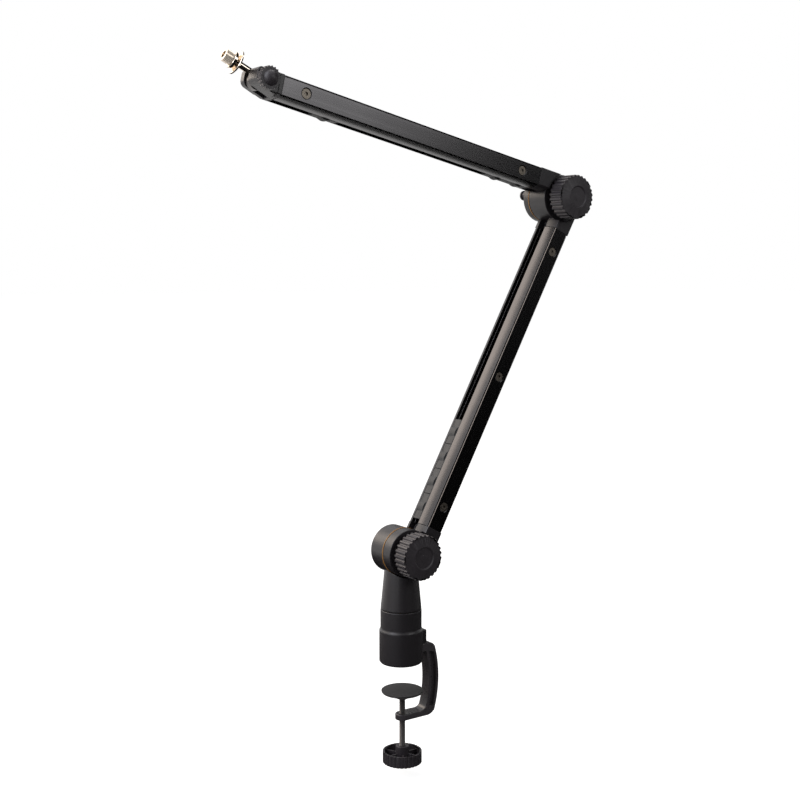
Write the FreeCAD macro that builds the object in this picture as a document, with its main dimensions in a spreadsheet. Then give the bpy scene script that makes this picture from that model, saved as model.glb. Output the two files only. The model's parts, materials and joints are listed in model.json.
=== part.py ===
"""Desk-clamped microphone boom arm, built as separate named solids.

World frame: Z up along the swivel of the post, origin in the middle of the upper clamp jaw's face.
Both arms lie in the XZ plane and every pivot runs along Y, with the hand knobs on the -Y side.
Distances "w" below are measured along -Y, so that w grows towards the knobs.
Each arm has a local frame: x along the arm, z towards its cable channel, turned about -Y.
"""
import FreeCAD, Part
import os
import re
import sys

doc = FreeCAD.newDocument("boom_arm")
sheet = doc.addObject("Spreadsheet::Sheet", "dims")

CELLS = {
    # pose and lengths
    "pivot_height": 150.0,
    "lower_length": 534.0,
    "lower_angle": 61.2,
    "upper_angle": 167.5,
    "tip_reach": 480.0,
    "tip_drop": 16.8,
    "stem_angle": 154.0,
    # clearances
    "run_gap": 0.1,
    "bolt_fit": 0.06,
    "seat_gap": 0.05,
    # pivot drums, the same at the base and the elbow
    "drum_radius": 31.5,
    "drum_rear": 25.0,
    "drum_front": 20.0,
    "base_split": 2.6,
    "disc_thick": 0.8,
    "disc_proud": 0.4,
    "cheek_gap": 1.1,
    "bolt_radius": 5.0,
    "bolt_hex": 9.8,
    "bolt_head": 6.6,
    "head_sunk": 0.4,
    "bolt_cover": 6.0,
    "thrust_radius": 16.0,
    "washer_thick": 1.5,
    "spring_radius": 13.5,
    "spring_height": 2.6,
    "spring_plate": 1.2,
    "spring_cone": 4.5,
    "spring_lip": 1.5,
    "outer_radius": 13.0,
    # hand knobs of the two pivots
    "knob_radius": 30.0,
    "boss_height": 2.6,
    "knob_height": 21.6,
    "knob_boss": 17.0,
    "rim_chamfer": 0.4,
    "face_radius": 27.0,
    "face_rise": 3.5,
    "flute_radius": 2.1,
    "flute_depth": 2.0,
    "dimple_radius": 14.6,
    "dimple_rim": 1.2,
    "dimple_depth": 1.5,
    "gate_radius": 4.4,
    "gate_rise": 0.4,
    "nut_inset": 2.0,
    "nut_thick": 8.0,
    # arm section
    "arm_near": 28.6,
    "arm_far": 13.5,
    "arm_back": 28.8,
    "crown_top": -0.4,
    "crown_radius": 67.0,
    "crown_mid": 4.6,
    "arm_wall": 2.2,
    "floor_depth": 12.5,
    "floor_thick": 2.2,
    "slot_near": 9.5,
    "slot_far": 6.5,
    "step_level": 4.9,
    "step_depth": 2.4,
    "band_depth": 0.8,
    "band_width": 5.0,
    "plug_length": 52.0,
    "lower_start": 42.0,
    "lower_stop": 44.5,
    "upper_start": 52.0,
    "upper_stop": 22.0,
    # countersunk side screws
    "screw_inset": 32.2,
    "screw_drop": 15.6,
    "sink_radius": 6.9,
    "sink_depth": 3.2,
    "head_below": 0.7,
    "shank_radius": 3.0,
    "shank_length": 14.0,
    "socket_radius": 2.3,
    "socket_depth": 2.6,
    "block_half": 20.0,
    # cable clips
    "clip_length": 36.0,
    "clip_gap": 0.4,
    "clip_start": 5.5,
    "clip_sink": 0.25,
    "clip_depth": 5.0,
    "clip_wall": 2.0,
    "tab_radius": 13.0,
    "tab_proud": 1.6,
    "tip_clip_back": 94.0,
    # cable peg behind the elbow
    "peg_offset": 23.0,
    "peg_radius": 5.0,
    "peg_length": 8.0,
    "peg_head": 6.8,
    "peg_rim": 3.0,
    # clamp collar and swivel
    "collar_radius": 29.0,
    "neck_radius": 27.4,
    "collar_step": 46.5,
    "step_slope": 2.5,
    "collar_top": 72.2,
    "jaw_thick": 1.0,
    "jaw_margin": 1.5,
    "well_radius": 16.0,
    "well_depth": 24.0,
    "lug_reach": 38.0,
    "lug_half": 6.0,
    "lug_high": 38.0,
    "bush_radius": 12.0,
    "spindle_radius": 8.0,
    "spindle_tail": 3.4,
    "spindle_cover": 5.4,
    "circlip_radius": 11.0,
    "circlip_seat": 6.5,
    "circlip_thick": 1.3,
    "circlip_lip": 1.0,
    "swivel_radius": 24.0,
    "swivel_thick": 0.55,
    "post_foot": 27.2,
    "post_head": 19.9,
    # bowed bracket
    "bow_radius": 155.0,
    "bow_outer": 56.5,
    "bow_level": -29.0,
    "bow_depth": 16.0,
    "flange_thick": 4.0,
    "web_half": 2.6,
    "bracket_half": 8.5,
    "tongue_low": 10.0,
    "tongue_thick": 10.0,
    "tongue_root": 18.0,
    "bracket_screw_at": 33.0,
    "bracket_screw_radius": 3.0,
    "bracket_screw_wall": 1.2,
    "bracket_socket": 4.0,
    "dowel_at": 23.0,
    "dowel_radius": 2.5,
    "dowel_half": 13.0,
    "dowel_taper": 1.0,
    "dowel_tip": 0.5,
    "foot_half": 9.5,
    "foot_top": -72.0,
    "foot_thick": 8.0,
    "heel_radius": 15.0,
    "shoulder_radius": 10.0,
    "foot_fillet": 8.0,
    # clamp screw, pad and grip
    "screw_offset": 2.0,
    "screw_radius": 4.0,
    "thread_bush_radius": 6.0,
    "pad_radius": 28.0,
    "pad_top": -40.0,
    "pad_thick": 3.0,
    "pad_taper": 1.0,
    "liner_thick": 1.2,
    "pad_boss_radius": 9.0,
    "pad_boss_height": 8.0,
    "button_radius": 6.0,
    "button_height": 2.2,
    "button_gap": 0.4,
    "grip_radius": 26.3,
    "grip_top": -124.0,
    "grip_height": 15.0,
    "grip_wall": 3.0,
    "grip_floor": 3.0,
    "grip_flute": 1.6,
    "grip_flute_depth": 0.7,
    "screw_end": 1.0,
    "grip_hub": 8.8,
    "hub_rise": 7.0,
    "rib_width": 2.0,
    "rib_drop": 3.0,
    "grip_nut_radius": 7.5,
    "grip_nut_height": 6.5,
    # microphone end
    "fork_nose": 13.0,
    "fork_corner": 8.0,
    "fork_back_corner": 5.0,
    "fork_slope": 16.0,
    "fork_root": 5.0,
    "fork_slot_far": 4.0,
    "fork_slot_near": 6.0,
    "tip_washer": 0.7,
    "tip_washer_radius": 8.0,
    "eye_radius": 10.6,
    "stem_radius": 4.1,
    "stud_radius": 4.76,
    "stud_start": 28.0,
    "stud_length": 18.0,
    "ring_radius": 14.7,
    "ring_at": 30.0,
    "ring_thick": 2.2,
    "adapter_gap": 2.3,
    "adapter_flange": 10.5,
    "adapter_rim": 4.0,
    "thread_radius": 7.94,
    "thread_length": 10.5,
    "tip_bolt_radius": 3.0,
    "tip_hex": 5.8,
    "tip_head": 3.7,
    "tip_bolt_end": 5.2,
    "tip_knob_radius": 13.8,
    "tip_knob_height": 9.0,
    "tip_knob_lift": 0.5,
    "tip_flute": 1.7,
    "tip_flute_depth": 1.3,
    "tip_nut_thick": 3.7,
    "dome_radius": 9.3,
    "dome_height": 7.0,
}
for row, (alias, number) in enumerate(CELLS.items(), start=1):
    sheet.set("A%d" % row, alias)
    sheet.set("B%d" % row, str(number))
    sheet.setAlias("B%d" % row, alias)
doc.recompute()

KNOB_FLUTES = 28
TIP_FLUTES = 20
GRIP_FLUTES = 30
GRIP_RIB_ANGLES = (0, 60, 120)
LOWER_CLIPS = 4

TURN = {
    "z": FreeCAD.Rotation(),
    "w": FreeCAD.Rotation(FreeCAD.Vector(1, 0, 0), 90),
    "x": FreeCAD.Rotation(FreeCAD.Vector(0, 1, 0), 90),
}


def expr(text):
    """Point every cell name in a formula at the spreadsheet."""
    return re.sub(r"[a-z_]{3,}", lambda m: "dims." + m.group(0) if m.group(0) in CELLS else m.group(0), text)


def drive(obj, path, value):
    """Give a property a number, or bind it to a formula."""
    if isinstance(value, str):
        obj.setExpression(path, expr(value))
    else:
        setattr(obj, path, value)


def span(low, high):
    if isinstance(low, str) or isinstance(high, str):
        return "(%s) - (%s)" % (high, low)
    return high - low


def minus(value):
    return "-(%s)" % value if isinstance(value, str) else -value


def put(obj, at, axis="z"):
    """Set a piece down at a point, with its own axis along z, w or x."""
    numbers = [0.0 if isinstance(v, str) else v for v in at]
    obj.Placement = FreeCAD.Placement(FreeCAD.Vector(*numbers), TURN[axis])
    for letter, value in zip("xyz", at):
        if isinstance(value, str):
            obj.setExpression("Placement.Base." + letter, expr(value))
    return obj


def block(x0, x1, w0, w1, z0, z1):
    obj = doc.addObject("Part::Box", "block")
    drive(obj, "Length", span(x0, x1))
    drive(obj, "Width", span(w0, w1))
    drive(obj, "Height", span(z0, z1))
    return put(obj, (x0, minus(w1), z0))


def rod(axis, radius, low, high, a=0.0, b=0.0):
    """A cylinder between two stations; a and b place its axis: x,z for w, w,z for x, x,w for z."""
    obj = doc.addObject("Part::Cylinder", "rod")
    drive(obj, "Radius", radius)
    drive(obj, "Height", span(low, high))
    return put(obj, station(axis, low, a, b), axis)


def taper(axis, radius_low, radius_high, low, high, a=0.0, b=0.0):
    obj = doc.addObject("Part::Cone", "taper")
    drive(obj, "Radius1", radius_low)
    drive(obj, "Radius2", radius_high)
    drive(obj, "Height", span(low, high))
    return put(obj, station(axis, low, a, b), axis)


def hexagon(axis, radius, low, high, a=0.0, b=0.0):
    obj = doc.addObject("Part::Prism", "hexagon")
    obj.Polygon = 6
    drive(obj, "Circumradius", radius)
    drive(obj, "Height", span(low, high))
    return put(obj, station(axis, low, a, b), axis)


def station(axis, low, a, b):
    if axis == "w":
        return (a, minus(low), b)
    if axis == "x":
        return (low, minus(a), b)
    return (a, minus(b), low)


def fuse(*pieces):
    if len(pieces) == 1:
        return pieces[0]
    obj = doc.addObject("Part::MultiFuse", "fuse")
    obj.Shapes = list(pieces)
    obj.Refine = True
    return obj


def cut(base, *tools):
    obj = doc.addObject("Part::Cut", "cut")
    obj.Base = base
    obj.Tool = fuse(*tools)
    obj.Refine = True
    return obj


def common(first, second):
    obj = doc.addObject("Part::MultiCommon", "common")
    obj.Shapes = [first, second]
    return obj


ELBOW_X = "lower_length * cos(lower_angle * 1deg)"
ELBOW_Z = "pivot_height + lower_length * sin(lower_angle * 1deg)"
PIN_X = ELBOW_X + " + tip_reach * cos(upper_angle * 1deg) + tip_drop * sin(upper_angle * 1deg)"
PIN_Z = ELBOW_Z + " + tip_reach * sin(upper_angle * 1deg) - tip_drop * cos(upper_angle * 1deg)"
FRAMES = {
    "base": ("0", "pivot_height", None),
    "lower": ("0", "pivot_height", "lower_angle"),
    "lower_top": (ELBOW_X, ELBOW_Z, "lower_angle"),
    "upper": (ELBOW_X, ELBOW_Z, "upper_angle"),
    "tip": (PIN_X, PIN_Z, "stem_angle"),
}
nodes = []


def node(name, obj, frame=None):
    """Name a finished solid and set it in its frame."""
    obj.Label = name
    if frame:
        x, z, angle = FRAMES[frame]
        if angle:
            turn = FreeCAD.Rotation(FreeCAD.Vector(0, -1, 0), CELLS[angle])
            obj.Placement = FreeCAD.Placement(FreeCAD.Vector(), turn)
            obj.setExpression("Placement.Rotation.Angle", expr(angle))
        obj.setExpression("Placement.Base.x", expr(x))
        obj.setExpression("Placement.Base.z", expr(z))
    nodes.append((name, obj))
    return obj


def past(value, extra):
    """A station a little beyond another, for cuts that run right through."""
    return "(%s) + (%s)" % (value, extra)


def washer(outer, inner, low, high, x=0.0, z=0.0):
    return cut(rod("w", outer, low, high, x, z), rod("w", inner, past(low, -1), past(high, 1), x, z))


def dished(low):
    """A dished spring washer."""
    plate = cut(
        taper("w", "spring_radius", "spring_radius - spring_cone", low, past(low, "spring_height")),
        taper("w", "spring_radius - spring_lip", "spring_radius - spring_lip - spring_cone", past(low, -0.01),
              past(low, "spring_height - spring_plate")),
    )
    return cut(plate, rod("w", "bolt_radius", past(low, -1), past(low, "spring_height + 1")))


# stations along the arms and the pivots
LOWER_END = "lower_length - lower_stop"
LOWER_MID = "(lower_start + lower_length - lower_stop) / 2"
LOWER_SCREWS = ("lower_start + screw_inset", LOWER_MID, "lower_length - lower_stop - screw_inset")
UPPER_END = "tip_reach - upper_stop"
UPPER_SCREWS = ("upper_start + screw_inset", "tip_reach - upper_stop - screw_inset")
CHEEK = "drum_radius + cheek_gap"
BASE_HUB = "base_split + disc_thick + run_gap"
ELBOW_DISC = "-arm_far - run_gap - disc_thick"
STACK = "drum_front + run_gap"
KNOB_BACK = "drum_front + run_gap * 2 + washer_thick * 2 + spring_height + boss_height"
BOLT_END = KNOB_BACK + " + knob_height - bolt_cover"


def section(x0, x1):
    """The outside of the arm: flat sides and back, and a crowned channel face."""
    outline = block(x0, x1, "-arm_far", "arm_near", "-arm_back", "crown_top")
    crown = rod("x", "crown_radius", x0, x1, "crown_mid", "crown_top - crown_radius")
    return common(outline, crown)


def channel(x0, x1):
    """The cable channel, open to the crowned face."""
    return block(x0, x1, "-slot_far", "slot_near", "floor_thick - floor_depth", "crown_top + 1")


def steps(x0, x1):
    """The waste above the shoulders, where the crown stands back from the flat sides."""
    low, high = "-step_level", "crown_top + 1"
    return (block(x0, x1, "arm_near - step_depth", "arm_near + 1", low, high),
            block(x0, x1, "-arm_far - 1", "step_depth - arm_far", low, high))


def screw_hole(x):
    """A countersunk hole in the near side."""
    head = taper("w", "shank_radius", "sink_radius", "arm_near - sink_depth", "arm_near", x, "-screw_drop")
    shank = rod("w", "shank_radius", "arm_near - shank_length - 1", "arm_near - sink_depth + 0.1",
                x, "-screw_drop")
    return fuse(head, shank)


def side_screw(name, x, frame):
    wide = "shank_radius + (sink_radius - shank_radius) * (1 - head_below / sink_depth) - seat_gap"
    head = taper("w", "shank_radius", wide, "arm_near - sink_depth", "arm_near - head_below",
                 x, "-screw_drop")
    shank = rod("w", "shank_radius", "arm_near - shank_length", "arm_near - sink_depth + 0.1",
                x, "-screw_drop")
    socket = hexagon("w", "socket_radius", "arm_near - socket_depth", "arm_near", x, "-screw_drop")
    node(name, cut(fuse(head, shank), socket), frame)


def tube(name, start, end, screws, frame):
    cavity = block(start, end, "arm_wall - arm_far", "arm_near - arm_wall",
                   "arm_wall - arm_back", "-floor_depth")
    holes = [screw_hole(x) for x in screws]
    node(name, cut(section(start, end), cavity, channel(start, end), *steps(start, end), *holes), frame)


def plug(x0, x1):
    """A block that fills the closed half of a tube."""
    return block(x0, x1, "arm_wall - arm_far + seat_gap", "arm_near - arm_wall - seat_gap",
                 "arm_wall - arm_back + seat_gap", "-floor_depth - seat_gap")


def band(x):
    """A fine groove round the outside of a cap."""
    inner = common(
        block(x, past(x, "band_depth"), "band_depth - arm_far", "arm_near - band_depth",
              "band_depth - arm_back", "crown_top"),
        rod("x", "crown_radius - band_depth", x, past(x, "band_depth"),
            "crown_mid", "crown_top - crown_radius"))
    return cut(section(x, past(x, "band_depth")), inner)


def clip(name, x0, frame):
    """A snap-in cable cover with a low finger swell."""
    x1 = past(x0, "clip_length")
    middle = past(x0, "clip_length / 2")
    near, far = "slot_near - run_gap", "run_gap - slot_far"
    body = block(x0, x1, far, near, "-clip_depth", "crown_top")
    crown = rod("x", "crown_radius - clip_sink", x0, x1, "crown_mid", "crown_top - crown_radius")
    tab = common(
        rod("w", "tab_radius", "clip_wall - slot_far", "slot_near - clip_wall",
            middle, "crown_top + tab_proud - tab_radius"),
        block(x0, x1, far, near, "-clip_depth", "crown_top + tab_proud + 1"))
    hollow = block(past(x0, "clip_wall"), past(x1, "-clip_wall"),
                   "clip_wall - slot_far", "slot_near - clip_wall",
                   "-clip_depth - 1", "clip_wall - clip_depth")
    node(name, cut(fuse(common(body, crown), tab), hollow), frame)


def fluted(name, radius, height, count, flute, depth):
    """The toothed body of a hand knob or grip, standing on its back."""
    body = doc.addObject("PartDesign::Body", name)
    grip = doc.addObject("PartDesign::AdditiveCylinder", name + "_grip")
    body.addObject(grip)
    drive(grip, "Radius", radius)
    drive(grip, "Height", height)
    groove = doc.addObject("PartDesign::SubtractiveCylinder", name + "_flute")
    body.addObject(groove)
    drive(groove, "Radius", flute)
    drive(groove, "Height", past(height, 2))
    groove.Placement = FreeCAD.Placement(FreeCAD.Vector(0, 0, -1), FreeCAD.Rotation())
    groove.setExpression("Placement.Base.x", expr("%s + %s - %s" % (radius, flute, depth)))
    around = doc.addObject("PartDesign::PolarPattern", name + "_flutes")
    body.addObject(around)
    around.Originals = [groove]
    axis = [f for f in body.Origin.OriginFeatures if f.Role == "Z_Axis"][0]
    around.Axis = (axis, [""])
    around.Angle = 360
    around.Occurrences = count
    body.Tip = around
    return body


def bow(outside, inside, side_low, side_high, low, high):
    """A stretch of the bracket's bowed column, given by depths from its outer face."""
    middle = "bow_outer - bow_radius"
    ring = cut(
        rod("w", "bow_radius - (%s)" % outside, side_low, side_high, middle, "bow_level"),
        rod("w", "bow_radius - (%s)" % inside, past(side_low, -1), past(side_high, 1), middle, "bow_level"))
    return common(ring, block("bow_outer - bow_depth * 2", "bow_outer + 1", side_low, side_high, low, high))


def round_in_bow(face, radius, level):
    """A round that runs into the bow's face from inside: x of its centre, and the level where they meet."""
    inner = "((%s) - %s)" % (face, radius)
    rise = "((%s) - bow_level)" % level
    x = "bow_outer - bow_radius + sqrt(%s^2 - %s^2)" % (inner, rise)
    return x, "bow_level + %s * (%s) / %s" % (rise, face, inner)


def bow_corners(foot_low, tongue_top):
    """The waste outside the bracket's two round outer corners, and the fillet above its foot."""
    sides = ("-foot_half - 1", "foot_half + 1")
    heel_level = past(foot_low, "heel_radius")
    x, meet = round_in_bow("bow_radius", "heel_radius", heel_level)
    heel = cut(block(x, "bow_outer + 1", *sides, past(foot_low, -1), meet),
               rod("w", "heel_radius", *sides, x, heel_level))
    shoulder_level = past(tongue_top, "-shoulder_radius")
    x, meet = round_in_bow("bow_radius", "shoulder_radius", shoulder_level)
    shoulder = cut(block(x, "bow_outer + 1", *sides, meet, past(tongue_top, 1)),
                   rod("w", "shoulder_radius", *sides, x, shoulder_level))
    fillet_level = "foot_top + foot_fillet"
    x, meet = round_in_bow("bow_radius - bow_depth", "foot_fillet", fillet_level)
    fillet = cut(block(x, past(x, "foot_fillet + flange_thick"), "-bracket_half", "bracket_half",
                       "foot_top - 1", meet),
                 rod("w", "foot_fillet", *sides, x, fillet_level))
    return heel, shoulder, fillet


def clamp_body():
    """Collar, jaw face, swivel bearing and bowed bracket."""
    slope = "collar_step - step_slope"
    tongue_top = "tongue_low + tongue_thick"
    outside = fuse(
        rod("z", "collar_radius", "jaw_thick", slope),
        taper("z", "collar_radius", "neck_radius", slope, "collar_step"),
        rod("z", "neck_radius", "collar_step", "collar_top"),
        block("collar_radius / 2 + bush_radius / 2", "lug_reach", "-lug_half", "lug_half",
              tongue_top, "lug_high"),
    )
    dowel = ("-dowel_half - 1", "dowel_half + 1", "dowel_at", "tongue_low + tongue_thick / 2")
    screw_low = "tongue_low + tongue_thick / 4"
    screw_hole_at = (screw_low, "lug_high + 1", "bracket_screw_at", 0.0)
    node("clamp_collar", cut(
        outside,
        rod("z", "bush_radius", "well_depth - 1", "collar_top + 1"),
        rod("z", "well_radius", 0.0, "well_depth"),
        block("tongue_root - seat_gap", "lug_reach + 1",
              "-bracket_half - seat_gap", "bracket_half + seat_gap",
              "tongue_low - seat_gap", past(tongue_top, "seat_gap")),
        rod("z", "bracket_screw_radius", *screw_hole_at),
        rod("w", "dowel_radius", *dowel),
    ))
    node("jaw_pad", fuse(rod("z", "collar_radius - jaw_margin", 0.0, "jaw_thick"),
                         rod("z", "well_radius - run_gap", 0.0, "jaw_thick * 3")))
    node("swivel_bush", cut(rod("z", "bush_radius", "well_depth", "collar_top"),
                            rod("z", "spindle_radius + bolt_fit", "well_depth - 1", "collar_top + 1")))
    node("swivel_washer", cut(rod("z", "swivel_radius", "collar_top", "collar_top + swivel_thick"),
                              rod("z", "spindle_radius + bolt_fit", "collar_top - 1", "collar_top + 2")))
    foot_low = "foot_top - foot_thick"
    foot_end = "bow_outer - bow_depth / 2"
    heel, shoulder, fillet = bow_corners(foot_low, tongue_top)
    bracket = fuse(
        bow(0.0, "bow_depth", "-bracket_half", "bracket_half", foot_low, tongue_top),
        block("tongue_root", foot_end, "-bracket_half", "bracket_half", "tongue_low", tongue_top),
        block("screw_offset", foot_end, "-foot_half", "foot_half", foot_low, "foot_top"),
        rod("z", "foot_half", foot_low, "foot_top", "screw_offset", 0.0),
        fillet,
    )
    recess = ("flange_thick", "bow_depth - flange_thick")
    recess_span = ("foot_top + flange_thick", "tongue_low - flange_thick / 2")
    node("clamp_bracket", cut(
        bracket, heel, shoulder,
        bow(*recess, "web_half", "bracket_half + 1", *recess_span),
        bow(*recess, "-bracket_half - 1", "-web_half", *recess_span),
        rod("z", "thread_bush_radius", past(foot_low, -1), "foot_top + 1", "screw_offset", 0.0),
        rod("z", "bracket_screw_radius", *screw_hole_at),
        rod("w", "dowel_radius", *dowel),
    ))
    node("bracket_screw", cut(
        rod("z", "bracket_screw_radius", screw_low, "lug_high - head_sunk", "bracket_screw_at", 0.0),
        hexagon("z", "bracket_screw_radius - bracket_screw_wall", "lug_high - bracket_socket", "lug_high + 1",
                "bracket_screw_at", 0.0)))
    dowel_level = "tongue_low + tongue_thick / 2"
    node("bracket_dowel", fuse(
        rod("w", "dowel_radius", "dowel_taper - dowel_half", "dowel_half - dowel_taper",
            "dowel_at", dowel_level),
        rod("w", "dowel_radius - dowel_tip", "-dowel_half", "dowel_half", "dowel_at", dowel_level)))
    node("thread_bush", cut(
        rod("z", "thread_bush_radius", foot_low, "foot_top", "screw_offset", 0.0),
        rod("z", "screw_radius + bolt_fit", past(foot_low, -1), "foot_top + 1", "screw_offset", 0.0)))


def clamp_screw():
    """Pad, screw and hollow hand grip below the desk."""
    at = ("screw_offset", 0.0)
    pad_low = "pad_top - pad_thick"
    boss_low = "pad_top - pad_thick - pad_boss_height"
    button_top = "pad_top - pad_thick - button_gap"
    button_low = "pad_top - pad_thick - button_gap - button_height"
    node("clamp_pad", cut(
        fuse(taper("z", "pad_radius - pad_taper", "pad_radius", pad_low, "pad_top - liner_thick", *at),
             rod("z", "pad_boss_radius", boss_low, pad_low, *at)),
        rod("z", "screw_radius + bolt_fit", past(boss_low, -1), button_low, *at),
        rod("z", "button_radius + button_gap",
            past(button_low, "-button_gap"), past(button_top, "button_gap"), *at)))
    node("pad_liner", rod("z", "pad_radius", "pad_top - liner_thick", "pad_top", *at))
    screw_low = "grip_top - grip_height + grip_floor + screw_end"
    node("clamp_screw", fuse(rod("z", "screw_radius", screw_low, past(button_low, 0.1), *at),
                             rod("z", "button_radius", button_low, button_top, *at)))
    teeth = fluted("grip_teeth", "grip_radius", "grip_height", GRIP_FLUTES, "grip_flute", "grip_flute_depth")
    shell = put(teeth, ("screw_offset", 0.0, "grip_top - grip_height"))
    floor = "grip_top - grip_height + grip_floor"
    hollow = rod("z", "grip_radius - grip_wall", floor, "grip_top + 1", *at)
    hub = rod("z", "grip_hub", past(floor, -1), "grip_top + hub_rise", *at)
    nut_span = ("grip_top - rib_drop - grip_nut_height", "grip_top - rib_drop")
    node("clamp_grip", cut(
        fuse(cut(shell, hollow), hub, *[grip_rib(angle) for angle in GRIP_RIB_ANGLES]),
        rod("z", "screw_radius", screw_low, "grip_top + hub_rise + 1", *at),
        hexagon("z", "grip_nut_radius", *nut_span, *at)))
    node("grip_nut", cut(hexagon("z", "grip_nut_radius", *nut_span, *at),
                         rod("z", "screw_radius", "grip_top - grip_height", "grip_top", *at)))


def grip_rib(angle):
    """A rib right across the hollow of the grip."""
    rib = doc.addObject("Part::Box", "grip_rib")
    reach = "(grip_radius - grip_wall / 2)"
    drive(rib, "Length", "2 * " + reach)
    drive(rib, "Width", "rib_width")
    drive(rib, "Height", "grip_height - rib_drop - grip_floor + 1")
    turn = FreeCAD.Rotation(FreeCAD.Vector(0, 0, 1), angle)
    along = turn.multVec(FreeCAD.Vector(1, 0, 0))
    across = turn.multVec(FreeCAD.Vector(0, 0.5, 0))
    rib.Placement = FreeCAD.Placement(FreeCAD.Vector(), turn)
    corner = "-%s * %.6f - rib_width * %.6f"
    rib.setExpression("Placement.Base.x", expr("screw_offset " + corner % (reach, along.x, across.x)))
    rib.setExpression("Placement.Base.y", expr(corner % (reach, along.y, across.y)))
    rib.setExpression("Placement.Base.z", expr("grip_top - grip_height + grip_floor - 1"))
    return rib


def post():
    """Swivelling post with its knuckle, spindle and circlip."""
    foot = "collar_top + swivel_thick + run_gap"
    spindle_top = "pivot_height - drum_radius - cheek_gap - spindle_cover"
    head = ("w", "bolt_hex", "-drum_rear - 1", "bolt_head + head_sunk - drum_rear", 0.0, "pivot_height")
    cone = cut(taper("z", "post_foot", "post_head", foot, "pivot_height"),
               rod("w", CHEEK, "base_split", "post_foot + arm_near", 0.0, "pivot_height"))
    node("post", cut(
        fuse(cone, rod("w", "drum_radius", "-drum_rear", "base_split", 0.0, "pivot_height")),
        rod("w", "bolt_radius", "-drum_rear - 1", "base_split + 1", 0.0, "pivot_height"),
        hexagon(*head),
        rod("z", "spindle_radius", "collar_top", spindle_top)))
    groove = ("well_depth - circlip_thick - seat_gap * 6", "well_depth - seat_gap * 6")
    seat = rod("z", "circlip_seat", "well_depth - circlip_thick - 1", "well_depth + 1")
    node("swivel_spindle", cut(
        rod("z", "spindle_radius", "well_depth - circlip_thick - spindle_tail", spindle_top),
        cut(rod("z", "spindle_radius + 1", *groove), seat)))
    node("spindle_clip", cut(
        rod("z", "circlip_radius", *groove),
        rod("z", "circlip_seat", "well_depth - circlip_thick - 1", "well_depth + 1"),
        block(0.0, "circlip_radius + 1", "circlip_lip - circlip_seat", "circlip_seat - circlip_lip",
              "well_depth - circlip_thick - 1", "well_depth + 1")))


def pivot(name, disc_low, frame, at):
    """Bolt, friction disc, washers, knob and nut of one pivot."""
    head = ("head_sunk - drum_rear", "bolt_head + head_sunk - drum_rear")
    node(name + "_bolt", fuse(hexagon("w", "bolt_hex", *head),
                              rod("w", "bolt_radius", "bolt_head - drum_rear", BOLT_END)), frame)
    node(name + "_friction_disc", washer("drum_radius + disc_proud", "bolt_radius", disc_low,
                                         past(disc_low, "disc_thick")), frame)
    spring_low = past(STACK, "washer_thick")
    outer_low = past(spring_low, "spring_height")
    outer_high = past(outer_low, "washer_thick")
    node(name + "_thrust_washer", washer("thrust_radius", "bolt_radius", STACK, spring_low), frame)
    node(name + "_spring_washer", dished(spring_low), frame)
    node(name + "_outer_washer", washer("outer_radius", "bolt_radius", outer_low, outer_high), frame)
    front = past(KNOB_BACK, "knob_height")
    top = past(front, "face_rise")
    edge = past(front, "-rim_chamfer")
    grip = fluted(name + "_teeth", "knob_radius", "knob_height", KNOB_FLUTES, "flute_radius", "flute_depth")
    teeth = put(grip, (at[0], minus(KNOB_BACK), at[1]), "w")
    boss = rod("w", "knob_boss", past(outer_high, "run_gap"), past(KNOB_BACK, 1), *at)
    face = taper("w", "face_radius", "dimple_radius + dimple_rim", front, top, *at)
    chamfer = cut(rod("w", "knob_radius + 1", edge, front, *at),
                  taper("w", "knob_radius", "knob_radius - rim_chamfer", edge, front, *at))
    dimple = taper("w", "dimple_radius - dimple_rim", "dimple_radius", past(top, "-dimple_depth"), top, *at)
    gate = rod("w", "gate_radius", past(top, "-dimple_depth - 1"), past(top, "gate_rise - dimple_depth"), *at)
    bore = rod("w", "bolt_radius + bolt_fit", "drum_front", past(BOLT_END, 1), *at)
    nut_low = past(KNOB_BACK, "nut_inset")
    nut_high = past(nut_low, "nut_thick")
    body = fuse(cut(fuse(cut(teeth, chamfer), boss, face), dimple), gate)
    node(name + "_knob", cut(body, bore, hexagon("w", "bolt_hex", nut_low, nut_high, *at)))
    node(name + "_knob_nut", cut(
        hexagon("w", "bolt_hex", nut_low, nut_high, *at),
        rod("w", "bolt_radius + bolt_fit", past(nut_low, -1), past(nut_high, 1), *at)))


def running_bore():
    """The hole of an arm hub that turns on its pivot bolt."""
    return rod("w", "bolt_radius + bolt_fit", "-arm_far - 1", "arm_near + 1")


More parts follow.
